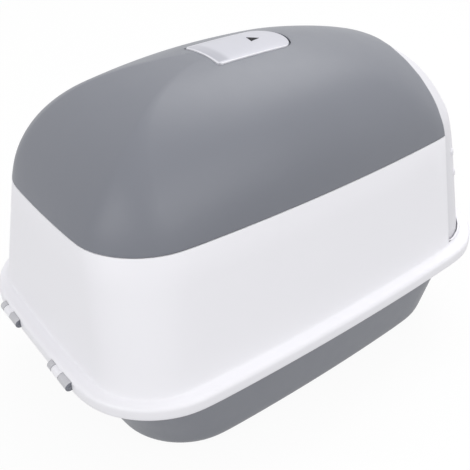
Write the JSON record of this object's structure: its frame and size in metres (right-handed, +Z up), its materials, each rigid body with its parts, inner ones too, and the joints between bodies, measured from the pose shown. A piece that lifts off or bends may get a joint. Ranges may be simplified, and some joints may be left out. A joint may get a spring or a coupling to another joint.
{
  "type": "hooded litter box",
  "caption": "Hooded litter box: open tray under a white hood that tilts back, grey dome that opens the top, flap door in the front and a filter under a lift-off cover.",
  "frame": {"origin": "on the floor below the centre of the box", "axes": "+X across the width, +Y towards the hood hinge at the rear, -Y towards the doorway, +Z up"},
  "size_m": [0.364, 0.57, 0.3826],
  "materials": {
    "grey_plastic": "satin moulded polypropylene",
    "white_plastic": "smooth moulded polypropylene",
    "milky_plastic": "milky translucent",
    "pin_steel": "plain",
    "charcoal_felt": "felt"
  },
  "bodies": {
    "tray_unit": {"tray": "grey_plastic", "hood_hinge_pins": "grey_plastic"},
    "hood": {"hood_shell": "white_plastic", "front_panel": "white_plastic", "door_frame": "white_plastic", "lid_hinge_pins": "pin_steel"},
    "flap": {"flap_door": "milky_plastic", "door_pins": "pin_steel"},
    "lid": {"dome_lid": "grey_plastic", "filter_holder": "grey_plastic", "filter_pad": "charcoal_felt"},
    "cover": {"filter_cover": "milky_plastic"}
  },
  "joints": [
    {"name": "hood_tilt", "type": "hinge", "parent": "tray_unit", "child": "hood", "pos_m": [0, 0.28, 0.123], "axis": [-1, 0, 0], "range_deg": [0, 75]},
    {"name": "lid_open", "type": "hinge", "parent": "hood", "child": "lid", "pos_m": [0, 0.238, 0.227], "axis": [-1, 0, 0], "range_deg": [0, 80]},
    {"name": "door_swing", "type": "hinge", "parent": "hood", "child": "flap", "pos_m": [0, -0.228, 0.26], "axis": [1, 0, 0], "range_deg": [-60, 60]},
    {"name": "cover_lift", "type": "slide", "parent": "lid", "child": "cover", "axis": [0, 0, 1], "range_m": [0, 0.06]}
  ]
}
